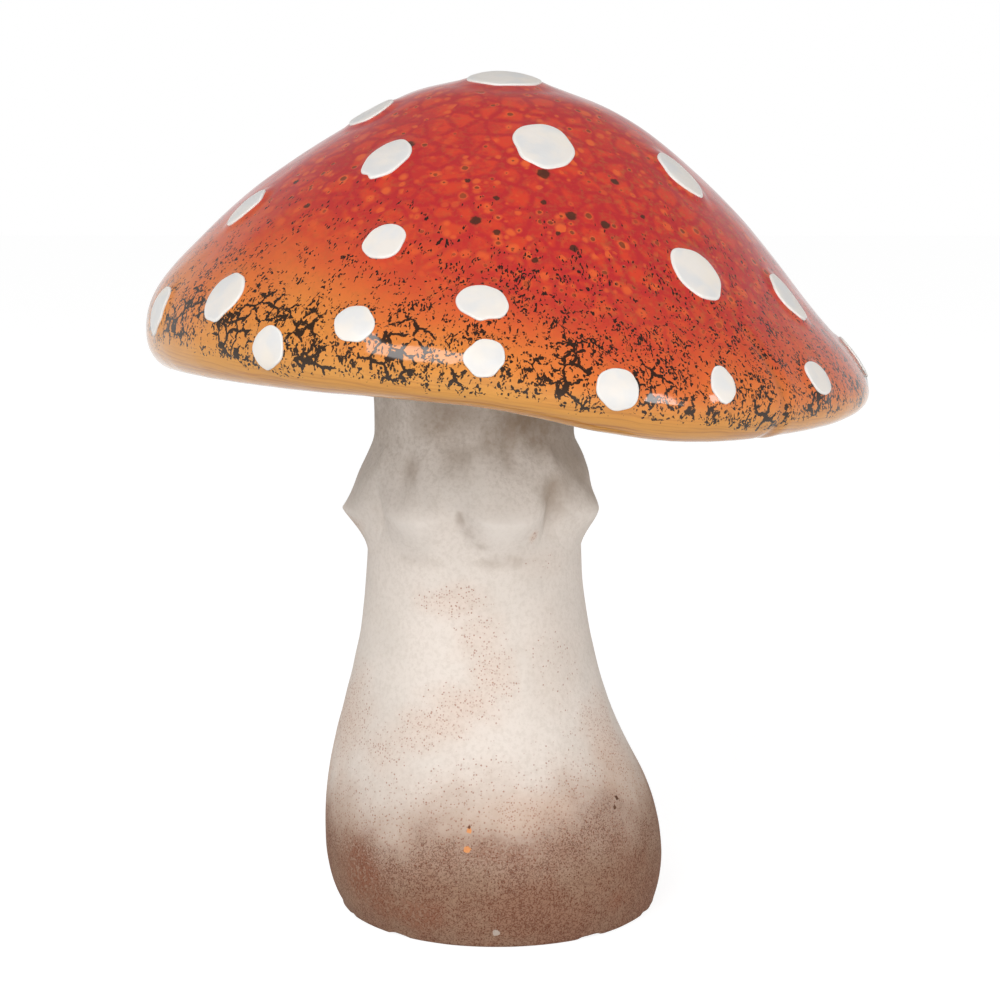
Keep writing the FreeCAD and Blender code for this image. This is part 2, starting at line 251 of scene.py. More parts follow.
def even_line(line, count, passes=40):
    """Points at even steps along a line of points, with its corners rounded off."""
    line = np.array(line)
    steps = np.concatenate(([0], np.cumsum(np.linalg.norm(np.diff(line, axis=0), axis=1))))
    even = np.linspace(0, steps[-1], count)
    points = np.stack([np.interp(even, steps, line[:, k]) for k in range(2)], axis=1)
    for _ in range(passes):
        points[1:-1] = (points[:-2] + 2 * points[1:-1] + points[2:]) / 4
    return points


def grid_normals(points):
    """Outward normals of rows of points that run down and close round."""
    around = np.roll(points, -1, 1) - np.roll(points, 1, 1)
    down = np.gradient(points, axis=0)
    normals = np.cross(down, around)
    return normals / np.linalg.norm(normals, axis=2, keepdims=True)


def rows_mesh(name, points, first=None, last=None):
    """A closed mesh from rows of points that close round.  It ends in two points, or is a closed tube."""
    rows, columns = points.shape[:2]
    vertices = [tuple(p) for p in points.reshape(-1, 3)]
    faces = []
    tube = first is None
    for j in range(rows if tube else rows - 1):
        upper = j * columns
        lower = (j + 1) % rows * columns
        for i in range(columns):
            k = (i + 1) % columns
            faces.append((upper + i, lower + i, lower + k, upper + k))
    if not tube:
        vertices += [tuple(first), tuple(last)]
        top = len(vertices) - 2
        bottom = (rows - 1) * columns
        for i in range(columns):
            k = (i + 1) % columns
            faces.append((top, i, k))
            faces.append((bottom + i, top + 1, bottom + k))
    mesh = bpy.data.meshes.new(name)
    mesh.from_pydata(vertices, [], faces)
    mesh.shade_smooth()
    piece = bpy.data.objects.new(name, mesh)
    scene.collection.objects.link(piece)
    return piece


def add_values(piece, name, values):
    """Stores one number, or three, for each of a piece's vertices."""
    kind, field = ("FLOAT", "value") if values.ndim == 1 else ("FLOAT_VECTOR", "vector")
    piece.data.attributes.new(name, kind, "POINT").data.foreach_set(field, values.ravel())


def rough_field(points, size, seed):
    """Smooth random values from -1 to 1 at points, with features of a size."""
    shift = Vector((seed * 17.0, seed * 5.0, seed * 11.0))
    values = [noise.noise(Vector(p) / size + shift) for p in points.reshape(-1, 3)]
    return np.array(values).reshape(points.shape[:-1])


def dab_place(name):
    """A dab's middle, its long and short directions, its outward direction and its two half lengths."""
    points = np.array([v.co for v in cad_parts[name].data.vertices])
    centre = points.mean(axis=0)
    long_way, short_way, outward = np.linalg.svd(points - centre, full_matrices=False)[2]
    if outward @ (centre - np.array(cap_middle)) < 0:
        outward = -outward
    short_way = np.cross(outward, long_way)
    middle = centre
    halves = []
    for way in (long_way, short_way):
        along = (points - centre) @ way
        middle = middle + way * (along.max() + along.min()) / 2
        halves.append((along.max() - along.min()) / 2)
    return middle, long_way, short_way, outward, *halves


def lay_on_cap():
    """The cap's skin from the crown to the inner edge of its lip, measured on the CAD piece in rows."""
    surface = surface_of("cap_shell")
    inverse = cap_frame.inverted()
    up = cap_turn @ Vector((0, 0, 1))
    below = 0.05
    reach = 0.012
    template = np.zeros((cap_rows, cap_columns, 3))
    facing = np.zeros((cap_rows, cap_columns, 3))
    distance = np.zeros((cap_rows, cap_columns))
    for i in range(cap_columns):
        angle = 2 * math.pi * i / cap_columns
        level = Vector((math.cos(angle), math.sin(angle), 0))
        hit = surface.ray_cast(cap_frame @ (level * lip_radius - Vector((0, 0, below))), up, 2 * below)[0]
        depth = (inverse @ hit).z
        lip = [(radius, depth * share) for radius, share in lip_profile]
        line = even_line(list(cap_profile) + lip, cap_rows + 1)[1:]
        slope = np.gradient(line, axis=0)
        for j in range(cap_rows):
            start = cap_frame @ (level * line[j, 0] + Vector((0, 0, line[j, 1])))
            outward = (cap_turn @ (Vector((0, 0, slope[j, 0])) - level * slope[j, 1])).normalized()
            hit = surface.ray_cast(start + outward * reach, -outward, 2 * reach)
            template[j, i] = start
            facing[j, i] = outward
            distance[j, i] = reach - hit[3]
    return template + facing * soften(distance, passes=6)[:, :, None]


cap_skin = lay_on_cap()
normals = grid_normals(cap_skin)
relief = (rough_field(cap_skin, 0.030, 1) + 0.5 * rough_field(cap_skin, 0.012, 2) - 1.2) * hand_wave
for name in dab_nodes:
    centre, long_way, short_way, outward, half_long, half_short = dab_place(name)
    away = cap_skin - centre
    spread = np.hypot(away @ long_way / half_long, away @ short_way / half_short)
    near = np.clip((mound_spread - spread) / (mound_spread - mound_flat), 0, 1)
    relief += mound_height * smooth_step(near * (np.abs(away @ outward) < mound_reach))
azimuths = np.arange(cap_columns) * 360 / cap_columns
rows = np.linspace(0, 1, cap_rows)[:, None]
off_seam = turn_from(azimuths[None, :] - 3 * np.sin(rows * 9), seam_azimuth)
low_down = np.clip((rows - seam_start) / seam_fade, 0, 1)
seam = np.exp(-(off_seam / 0.7) ** 2) * low_down
relief -= seam_depth * seam
relief += 0.6 * seam_depth * np.exp(-((off_seam - 2.2) / 1.4) ** 2) * low_down
cap_skin = cap_skin + normals * relief[:, :, None]

inside = (cap_skin - cap_middle) @ np.array(cap_turn)
bore = [
    circle(np.radians(azimuths), bore_radius, inside[-1, :, 2] * (1 - share) + disc_top * share)
    for share in (0.0, 0.33, 0.66, 1.0)
]
bore = np.array(bore) @ np.array(cap_turn).T + cap_middle
dome_rows = [j for j in range(cap_rows - 1, 0, -dome_step) if inside[j, :, 2].min() > disc_top + dome_start]
dome = cap_skin[dome_rows] - normals[dome_rows] * cap_wall
crown = cap_skin[0].mean(axis=0)
inner_crown = crown - np.array(cap_turn @ Vector((0, 0, cap_wall)))
rows = np.concatenate((cap_skin, bore, dome))
cap = rows_mesh("glazed_cap", rows, crown, inner_crown)


def add_to_cap(name, outside, within, at_crown):
    """Stores values on the cap: a field outside, one number within and one on the crown."""
    hidden = np.full((len(rows) - cap_rows) * cap_columns, within)
    add_values(cap, name, np.concatenate((outside.ravel(), hidden, [at_crown, within])))


line = np.concatenate((np.broadcast_to(crown, (1, cap_columns, 3)), cap_skin))
lengths = np.cumsum(np.linalg.norm(np.diff(line, axis=0), axis=2), axis=0)
columns = np.arange(cap_columns)
widest = lengths[np.linalg.norm(inside[:, :, :2], axis=2).argmax(axis=0), columns]
lowest = lengths[inside[:, :, 2].argmin(axis=0), columns]
widest = soften(widest[None, :], passes=30)[0]
lowest = soften(lowest[None, :], passes=30)[0]
over_lip = lowest - lengths
uneven = 1 + 0.5 * soften(rough_field(cap_skin, 0.009, 31), passes=1)
crackled = crackle_spread * np.clip((crackle_top - over_lip) / crackle_fade, 0, 1)
crackled *= 0.6 + 0.8 * rough_field(cap_skin, 0.016, 32)
for azimuth, height, reach, strength in crackled_places:
    off = np.radians(turn_from(azimuths, azimuth)) * bore_radius
    near = np.hypot(off[None, :], over_lip - height) / reach * uneven
    crackled = np.maximum(crackled, strength * smooth_step(np.clip((1.25 - near) / 0.85, 0, 1)))
add_to_cap("down", lengths / widest, inside_down, 0.0)
add_to_cap("edge", over_lip, inside_edge, 0.2)
add_to_cap("seam", seam, 0.0, 0.0)
add_to_cap("crackled", np.clip(crackled, 0, 1), 0.0, 0.0)
lay = np.broadcast_to(circle(np.radians(azimuths), lay_radius)[:, :2], (cap_rows, cap_columns, 2))
lay = np.concatenate((lay, lengths[:, :, None]), axis=2)
lay = np.concatenate((lay, rows[cap_rows:])).reshape(-1, 3)
add_values(cap, "lay", np.concatenate((lay, np.zeros((2, 3)))))


def after(kind, inputs, **settings):
    """A node in the tree that its inputs come from."""
    tree = next(value.id_data for value in inputs.values() if isinstance(value, bpy.types.NodeSocket))
    return node(tree, kind, inputs, **settings)


def calc(operation, *values):
    """The result of one sum on numbers or nodes' outputs."""
    return after("ShaderNodeMath", dict(enumerate(values)), operation=operation).outputs[0]


def times(product, *factors):
    """The product of numbers or nodes' outputs."""
    for factor in factors:
        product = calc("MULTIPLY", product, factor)
    return product


def plus(value, field, size):
    """A value plus a field times its size."""
    return calc("MULTIPLY_ADD", field, size, value)


def ramp(value, low, high, to_low=0.0, to_high=1.0):
    """A smooth rise or fall of one value between two others."""
    inputs = {"Value": value, "From Min": low, "From Max": high, "To Min": to_low, "To Max": to_high}
    return after("ShaderNodeMapRange", inputs, interpolation_type="SMOOTHSTEP").outputs[0]


def stain(colour, other, *shares):
    """A colour mixed with another one, by the product of the shares."""
    inputs = {0: times(*shares), 6: colour, 7: other}
    inputs = {key: (*value, 1) if isinstance(value, tuple) else value for key, value in inputs.items()}
    return after("ShaderNodeMix", inputs, data_type="RGBA").outputs[2]


def speckle(place, scale, detail=2.0, roughness=0.5):
    """Fractal noise at a place."""
    inputs = {"Vector": place, "Scale": scale, "Detail": detail, "Roughness": roughness}
    return after("ShaderNodeTexNoise", inputs).outputs["Fac"]


def cell_edges(place, scale):
    """How far a place is from the edges of its cell."""
    inputs = {"Vector": place, "Scale": scale}
    return after("ShaderNodeTexVoronoi", inputs, feature="DISTANCE_TO_EDGE").outputs["Distance"]


def round_cells(place, scale):
    """How far a place is from the middle of its cell, and the cell's random draws."""
    cell = after("ShaderNodeTexVoronoi", {"Vector": place, "Scale": scale})
    return cell.outputs["Distance"], after("ShaderNodeSeparateColor", {0: cell.outputs["Color"]}).outputs


def stored(tree, name, output="Fac"):
    """One of the piece's stored values."""
    return node(tree, "ShaderNodeAttribute", attribute_name=name).outputs[output]


def vector_node(operation, inputs):
    """One sum on places."""
    return after("ShaderNodeVectorMath", inputs, operation=operation).outputs


def shake(place, scale, amount):
    """A place moved about by noise."""
    texture = after("ShaderNodeTexNoise", {"Vector": place, "Scale": scale, "Detail": 2.0})
    centred = vector_node("SUBTRACT", {0: texture.outputs["Color"], 1: (0.5, 0.5, 0.5)})[0]
    return vector_node("ADD", {0: place, 1: vector_node("SCALE", {0: centred, "Scale": amount})[0]})[0]


def spot_at(place, point, outer, inner):
    """A spot round a point: nothing beyond its outer radius and full within its inner one."""
    return ramp(vector_node("DISTANCE", {0: place, 1: tuple(point)})["Value"], outer, inner)


def flakes(place, scale, density):
    """Small angular flakes.  Their share of the surface is the density."""
    draw = round_cells(place, scale)[1][0]
    return ramp(calc("SUBTRACT", density, draw), 0.0, 0.02)


def oil_spots(place, scale, share):
    """Orange rings round small brown pits: how much ring and how much pit there is."""
    away, draws = round_cells(place, scale)
    size = ramp(draws[0], 1 - share, 1.0, 0.0, 0.52)
    ring = ramp(calc("SUBTRACT", size, away), 0.0, 0.28)
    pit_size = ramp(draws[1], 0.20, 0.90, 0.0, 0.27)
    pit_size = calc("MINIMUM", pit_size, times(size, 0.55))
    pit = ramp(calc("SUBTRACT", pit_size, away), -0.01, 0.04)
    return ring, pit


def finish_surface(output, colour, roughness, bumps, settings):
    """Ends a material in its shader.  The bumps are fields, each with its height in metres."""
    height = times(*bumps[0])
    for field, size in bumps[1:]:
        height = plus(height, field, size)
    bump = after("ShaderNodeBump", {"Height": height, "Strength": 1.0, "Distance": 1.0}).outputs[0]
    inputs = {"Base Color": colour, "Roughness": roughness, "Normal": bump, **settings}
    shader = after("ShaderNodeBsdfPrincipled", inputs)
    output.id_data.links.new(shader.outputs[0], output.inputs["Surface"])


def object_place(tree):
    """Where a point is in the piece's own frame."""
    return node(tree, "ShaderNodeTexCoord").outputs["Object"]


glaze_colours = (
    # share of the way down to the widest ring, and colour
    (0.00, (0.640, 0.056, 0.023)),
    (0.35, (0.625, 0.043, 0.018)),
    (0.60, (0.590, 0.038, 0.016)),
    (0.75, (0.590, 0.056, 0.018)),
    (0.87, (0.640, 0.116, 0.026)),
    (0.96, (0.660, 0.198, 0.036)),
    (1.04, (0.640, 0.265, 0.050)),
)
last_share = 1.04
ring_orange = (0.700, 0.108, 0.024)
crimson = (0.430, 0.014, 0.020)
pit_brown = (0.085, 0.027, 0.008)
pool_brown = (0.030, 0.016, 0.006)
crackle_black = (0.010, 0.005, 0.002)
lip_pale = (0.68, 0.53, 0.36)
mustard = (0.625, 0.295, 0.052)
streak_brown = (0.36, 0.125, 0.028)
biscuit = (0.62, 0.50, 0.38)
brown_pools = (
    # azimuth, share of the way down, half width: pools of brown glaze beside two dabs and lower down
    (-125, 0.448, 0.0017), (-86, 0.471, 0.0018), (-137, 0.66, 0.001), (-104, 0.525, 0.0008),
    (-100, 0.63, 0.0015), (-95, 0.657, 0.001), (-86, 0.559, 0.001), (-80, 0.583, 0.0015),
    (-73, 0.592, 0.0013), (-66, 0.465, 0.0012), (-62, 0.553, 0.0008), (-80, 0.663, 0.0012),
    (-88, 0.707, 0.0009), (-97, 0.569, 0.0008), (-83, 0.634, 0.0008), (-149, 0.6, 0.001), (20, 0.55, 0.0013),
    (64, 0.5, 0.0011), (95, 0.6, 0.0012), (140, 0.58, 0.0011),
)

material, tree, output = new_material("oil spot glaze")
place = object_place(tree)
down = stored(tree, "down")
edge = stored(tree, "edge")
lay = stored(tree, "lay", "Vector")
drift = calc("SUBTRACT", speckle(place, 28.0, 3.0), 0.5)
across = node(tree, "ShaderNodeSeparateXYZ", {0: place}).outputs["X"]
way_down = plus(down, drift, 0.24)
way_down = calc("ADD", way_down, ramp(across, -0.06, 0.06, 0.05, -0.06))
bands = node(tree, "ShaderNodeValToRGB", {0: calc("DIVIDE", way_down, last_share)})
bands.color_ramp.interpolation = "B_SPLINE"
elements = bands.color_ramp.elements
while len(elements) < len(glaze_colours):
    elements.new(1.0)
for element, (share, colour) in zip(elements, glaze_colours):
    element.position = share / last_share
    element.color = (*colour, 1)
colour = bands.outputs[0]

upper = ramp(way_down, 0.62, 0.92, 1.0, 0.0)
shaken = shake(place, 240.0, 0.0014)
webs = ramp(speckle(shaken, 130.0, 4.0, 0.65), 0.44, 0.60, 0.0, 0.7)
web_lines = ramp(cell_edges(shake(shaken, 110.0, 0.004), 150.0), 0.24, 0.03)
colour = stain(colour, crimson, calc("MAXIMUM", webs, web_lines), upper, 0.88)
# Fine brown freckles in the glaze.  Towards the right side they grow stronger, and there they also darken
# that side as painted shade.
freckles = ramp(speckle(place, 540.0, 3.0, 0.65), 0.46, 0.72)
freckles_and_right_shade = ramp(times(across, upper), 0.0, 0.05, 0.25, 0.55)
colour = stain(colour, streak_brown, freckles, freckles_and_right_shade)
spotted = times(upper, ramp(speckle(place, 36.0, 3.0), 0.28, 0.50))
ring, pit = oil_spots(shaken, 250.0, 0.90)
small_ring, small_pit = oil_spots(shake(place, 300.0, 0.001), 370.0, 0.75)
ring = calc("MAXIMUM", ring, times(small_ring, 0.85))
colour = stain(colour, ring_orange, ring, spotted, 0.90)
pit = times(calc("MAXIMUM", pit, small_pit), spotted)
colour = stain(colour, pit_brown, pit, 0.75)
ragged = shake(place, 900.0, 0.0012)
pool = None
for azimuth, share, half_width in brown_pools:
    column = round((azimuth % 360) / 360 * cap_columns)
    row = int(np.searchsorted(lengths[:, column] / widest[column], share))
    here = spot_at(ragged, cap_skin[row, column], half_width * 1.15, half_width * 0.75)
    pool = here if pool is None else calc("MAXIMUM", pool, here)
colour = stain(colour, pool_brown, pool, 0.88)

band = ramp(plus(edge, drift, 0.010), 0.0165, 0.0075)
colour = stain(colour, mustard, band, 0.80)
streaks = node(tree, "ShaderNodeMapping", {"Vector": lay, "Scale": (34.0, 34.0, 1300.0)}).outputs[0]
streaks = ramp(speckle(streaks, 1.0, 4.0, 0.65), 0.44, 0.66)
colour = stain(colour, streak_brown, streaks, ramp(edge, 0.016, 0.005), 0.70)
colour = stain(colour, streak_brown, stored(tree, "seam"), 0.45)

torn = shake(shake(place, 380.0, 0.0022), 1300.0, 0.0005)
drawn = node(tree, "ShaderNodeMapping", {"Vector": lay, "Scale": (1.0, 1.0, 0.55)}).outputs[0]
drawn = shake(drawn, 420.0, 0.0016)
far_up = plus(edge, drift, 0.040)
clear_lip = ramp(plus(edge, drift, 0.016), 0.0085, 0.0120)
network = ramp(cell_edges(torn, 235.0), 0.130, 0.02, 0.0, 2.0)
unbroken = ramp(speckle(place, 190.0, 3.0, 0.6), 0.37, 0.50)
thick = times(network, unbroken, times(clear_lip, stored(tree, "crackled")))
fine_network = ramp(cell_edges(drawn, 400.0), 0.12, 0.01)
clusters = ramp(speckle(place, 150.0, 3.0, 0.6), 0.42, 0.68)
gathered = plus(0.25, clusters, 0.55)
thin = times(fine_network, times(ramp(far_up, 0.050, 0.014), clear_lip, gathered))
scattered = plus(0.015, clusters, 0.26)
dust = times(ramp(far_up, 0.085, 0.030), clear_lip, scattered)
lines = flakes(torn, 1850.0, calc("MAXIMUM", thick, thin))
black = calc("MAXIMUM", lines, flakes(drawn, 2100.0, dust))
colour = stain(colour, crackle_black, black, 0.97)

lip_line = calc("SUBTRACT", plus(edge, drift, 0.001), 0.0008)
pale = ramp(calc("ABSOLUTE", lip_line), 0.0016, 0.0008)
colour = stain(colour, lip_pale, pale, 0.8)
colour = stain(colour, biscuit, ramp(edge, -0.0005, -0.0025))
roughness = ramp(ramp(edge, -0.0020, 0.0), 0.0, 1.0, 0.75, 0.10)
bumps = [
    (speckle(place, 330.0, 1.0), 0.00002), (speckle(place, 90.0, 1.0), 0.00022),
    (speckle(place, 170.0, 1.0), 0.00006), (pit, -0.00008), (black, -0.00002),
]
finish_surface(output, colour, roughness, bumps, {"IOR": 1.45})
cap.data.materials.append(material)
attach(cap, "root")
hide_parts("cap_shell")

# The white dabs are thick slip, put on the mounds by hand and glazed over thinly.  Each is an uneven oval
# with a crisp rim, and some end in a small drip at the bottom.
dab_thickness = 0.00042
dab_root = 0.0006
dab_columns = 72
dab_wobble = 0.085
dab_waves = 7
dab_size = 0.97
dab_limit = 1.06
drip_spread = 0.16
dab_profile = (
    # share of the way out, share of the thickness
    (0.12, 1.00), (0.25, 1.00), (0.38, 0.99), (0.51, 0.98), (0.63, 0.97), (0.74, 0.97), (0.83, 0.98),
    (0.90, 1.00), (0.945, 0.97), (0.972, 0.84), (0.988, 0.60), (0.997, 0.25), (1.000, -0.20),
)
dab_underside = ((0.97, 1.0), (0.75, 1.0), (0.45, 1.0), (0.15, 1.0))
slip_white = (0.765, 0.718, 0.665)
slip_cool = (0.690, 0.680, 0.668)
slip_cream = (0.800, 0.728, 0.634)
slip_rim_highlight = (0.800, 0.775, 0.735)

material, tree, output = new_material("white slip")
place = object_place(tree)
out = stored(tree, "out")
brushed = shake(place, 60.0, 0.006)
colour = stain(slip_white, slip_cool, ramp(speckle(brushed, 110.0, 3.0), 0.40, 0.62))
colour = stain(colour, slip_cream, ramp(speckle(brushed, 70.0, 2.0), 0.52, 0.68), 0.6)
# A paler band round the outer edge of each dab is a painted highlight on its rim.
colour = stain(colour, slip_rim_highlight, ramp(out, 0.86, 0.94), 0.7)
roughness = ramp(speckle(place, 200.0), 0.3, 0.7, 0.30, 0.42)
bumps = [(speckle(brushed, 160.0, 3.0), 0.00022)]
finish_surface(output, colour, roughness, bumps, {"IOR": 1.45})
white_slip = material

downhill = np.array(cap_turn @ Vector((0, 0, -1)))
angles = np.arange(dab_columns) * 2 * math.pi / dab_columns
rings = dab_profile + tuple((share, -dab_root / dab_thickness * lift) for share, lift in dab_underside)
inside_start = cap_rows * cap_columns
crown_vertex = len(cap.data.vertices) - 2
cap_surface = BVHTree.FromPolygons(
    [v.co for v in cap.data.vertices],
    [
        p.vertices for p in cap.data.polygons
        if max(p.vertices) < inside_start or p.vertices[0] == crown_vertex
    ],
)


def lay_on_mound(flat, outward):
    """The point on the cap under one above it, and the outward direction there."""
    above = 0.01
    return cap_surface.ray_cast(Vector(flat + outward * above), Vector(-outward), 3 * above)[:2]


for index, name in enumerate(dab_nodes):
    centre, long_way, short_way, outward, half_long, half_short = dab_place(name)
    dice = np.random.default_rng(400 + index)
    phase = dice.uniform(0, 2 * math.pi, dab_waves)
    size = dice.uniform(0.3, 1.0, dab_waves)
    drip = dice.uniform(0.02, 0.07) if index % 3 == 0 else 0.0
    drip_angle = math.atan2(downhill @ short_way, downhill @ long_way)
    wobble = sum(size[k] * np.sin((k + 2) * angles + phase[k]) / (k + 2) for k in range(dab_waves))
    off_drip = (angles - drip_angle + math.pi) % (2 * math.pi) - math.pi
    outline = dab_size + dab_wobble * wobble + drip * np.exp(-(off_drip / drip_spread) ** 2)
    outline = np.minimum(outline, dab_limit)
    points = []
    outs = []
    for share, lift in rings:
        row = []
        for angle, reach in zip(angles, outline):
            way = long_way * half_long * math.cos(angle) + short_way * half_short * math.sin(angle)
            flat = centre + way * share * reach
            hit, facing = lay_on_mound(flat, outward)
            bumpy = 0.00007 * noise.noise(Vector(flat) / 0.004 + Vector((index, 0, 0)))
            row.append(hit + facing * (lift * dab_thickness + (bumpy if lift > 0.5 else 0)))
        points.append(row)
        outs += [share if lift > 0 else 1.0] * dab_columns
    points = np.array(points)
    middle, facing = lay_on_mound(centre, outward)
    dab = rows_mesh("white_" + name, points, middle + facing * dab_thickness, middle - facing * dab_root)
    add_values(dab, "out", np.array(outs + [0.0, 1.0]))
    dab.data.materials.append(white_slip)
    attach(dab, "root")
    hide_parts(name)

# The gill plate is a disc pressed from bare clay.  It closes the cap from below, and its moulded gills run
# from the neck to the lip.  A collar on its hidden side takes the stem.
disc_height = 0.002
plate_radius = 0.0877
collar_radius = 0.0258
collar_height = 0.010
collar_fillet = 0.001
plate_edge = 0.0005
disc_middle = 0.060
stem_socket_edge = 0.0330
socket_radius = 0.0203
neck_offset = 0.00994
hub_radius = 0.0383
gill_count = 60
gill_depth = 0.0030
gill_width = 0.0017
gill_clearance = 0.0027
gill_wander = 0.0005
gill_clay_pale = (0.60, 0.50, 0.40)
gill_clay_dark = (0.34, 0.26, 0.19)
gill_clay_red = (0.30, 0.13, 0.07)


def new_tree(name, inputs):
    """A Geometry Nodes tree with named inputs, and its two ends."""
    tree = bpy.data.node_groups.new(name, "GeometryNodeTree")
    tree.interface.new_socket("Geometry", in_out="INPUT", socket_type="NodeSocketGeometry")
    for label, kind in inputs.items():
        tree.interface.new_socket(label, in_out="INPUT", socket_type="NodeSocket" + kind)
    tree.interface.new_socket("Geometry", in_out="OUTPUT", socket_type="NodeSocketGeometry")
    return tree, node(tree, "NodeGroupInput"), node(tree, "NodeGroupOutput")


def grown(name, tree, values):
    """The plain mesh that a Geometry Nodes tree makes with these values."""
    seed_mesh = bpy.data.meshes.new(name)
    holder = bpy.data.objects.new(name, seed_mesh)
    scene.collection.objects.link(holder)
    modifier = holder.modifiers.new("grow", "NODES")
    modifier.node_group = tree
    for item in tree.interface.items_tree:
        if item.in_out == "INPUT" and item.name in values:
            modifier[item.identifier] = values[item.name]
    holder.update_tag()
    evaluated = holder.evaluated_get(bpy.context.evaluated_depsgraph_get())
    mesh = bpy.data.meshes.new_from_object(evaluated)
    holder.modifiers.remove(modifier)
    holder.data = mesh
    bpy.data.meshes.remove(seed_mesh)
    return holder


material, tree, output = new_material("bare gill clay")
place = object_place(tree)
washed = ramp(speckle(place, 60.0, 4.0, 0.6), 0.35, 0.65)
colour = stain(gill_clay_pale, gill_clay_dark, washed)
grain = speckle(place, 900.0, 2.0)
colour = stain(colour, gill_clay_red, ramp(grain, 0.60, 0.72), 0.5)
roughness = ramp(grain, 0.3, 0.7, 0.78, 0.92)
finish_surface(output, colour, roughness, [(grain, 0.00010)], {"Specular IOR Level": 0.3})
gill_clay = material

tree, given, made = new_tree("gills", {
    "Count": "Int", "Hub": "Float", "Reach": "Float", "Offset": "Float",
    "Depth": "Float", "Width": "Float", "Wander": "Float", "Clay": "Material",
})
given = given.outputs
around = node(tree, "GeometryNodeMeshCircle", {"Vertices": given["Count"], "Radius": given["Hub"]})
index = node(tree, "GeometryNodeInputIndex").outputs[0]
turn = calc("DIVIDE", times(index, 2 * math.pi), given["Count"])
side = times(given["Offset"], calc("SINE", turn))
ahead = times(given["Offset"], calc("COSINE", turn))
rest = calc("SUBTRACT", times(given["Reach"], given["Reach"]), times(side, side))
length = calc("ADD", ahead, calc("SQRT", rest))
length = calc("SUBTRACT", length, given["Hub"])
stretch = node(tree, "ShaderNodeCombineXYZ", {0: length, 1: given["Width"], 2: given["Depth"]})
heading = node(tree, "ShaderNodeCombineXYZ", {2: turn})
gill = node(tree, "GeometryNodeMeshCylinder", {
    "Vertices": 10, "Side Segments": 26, "Radius": 1.0, "Depth": 1.0,
})
gill = node(tree, "GeometryNodeTransform", {
    "Geometry": gill.outputs["Mesh"], "Translation": (0.5, 0, 0), "Rotation": (0, math.pi / 2, 0),
})
laid = node(tree, "GeometryNodeInstanceOnPoints", {
    "Points": around.outputs[0], "Instance": gill.outputs[0],
    "Rotation": heading.outputs[0], "Scale": stretch.outputs[0],
})
real = node(tree, "GeometryNodeRealizeInstances", {"Geometry": laid.outputs[0]})
spot = node(tree, "GeometryNodeInputPosition").outputs[0]
bent = node(tree, "ShaderNodeTexNoise", {"Vector": spot, "Scale": 70.0, "Detail": 1.0})
bent = vector_node("SUBTRACT", {0: bent.outputs["Color"], 1: (0.5, 0.5, 0.5)})[0]
bent = vector_node("SCALE", {0: bent, "Scale": given["Wander"]})[0]
moved = node(tree, "GeometryNodeSetPosition", {"Geometry": real.outputs[0], "Offset": bent})
smooth = node(tree, "GeometryNodeSetShadeSmooth", {"Geometry": moved.outputs[0]})
clay = node(tree, "GeometryNodeSetMaterial", {"Geometry": smooth.outputs[0], "Material": given["Clay"]})
tree.links.new(clay.outputs[0], made.inputs[0])
gills = grown("moulded_gills", tree, {
    "Count": gill_count,
    "Hub": hub_radius,
    "Reach": plate_radius - gill_clearance,
    "Offset": neck_offset,
    "Depth": gill_depth,
    "Width": gill_width / 2,
    "Wander": gill_wander * 2,
    "Clay": gill_clay,
})
gills.data.transform(cap_frame @ Matrix.Translation((-neck_offset, 0, disc_height)))

disc_columns = 160
turns = np.arange(disc_columns) * 2 * math.pi / disc_columns
disc_rows = []
socket_middle = np.array((-neck_offset, 0, 0))
disc_line = (
    # radius, height, and whether the ring is round the neck
    (socket_radius, disc_top + collar_height, True), (collar_radius, disc_top + collar_height, True),
    (collar_radius, disc_top + collar_fillet, True), (collar_radius + collar_fillet, disc_top, True),
    (disc_middle, disc_top, False), (plate_radius - plate_edge, disc_top, False),
    (plate_radius, disc_top - plate_edge, False), (plate_radius, disc_height + plate_edge, False),
    (plate_radius - plate_edge, disc_height, False), (disc_middle, disc_height, False),
    (stem_socket_edge, disc_height, True), (socket_radius, disc_height, True),
)
for radius, height, round_neck in disc_line:
    ring = circle(turns, radius, height)
    disc_rows.append(ring + socket_middle if round_neck else ring)
disc_rows = np.array(disc_rows) @ np.array(cap_turn).T + np.array(cap_middle)
disc = rows_mesh("gill_disc", disc_rows)
disc.data.materials.append(gill_clay)
for piece in (gills, disc):
    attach(piece, "root")
    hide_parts("gill_plate")

# The rim lute is a bead of the same clay, thinned to slip.  It joins the gill plate to the inside of the
# lip all the way round, and it was smoothed with a wet finger.
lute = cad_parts["rim_lute"]
lute.data.materials.clear()
lute.data.materials.append(gill_clay)

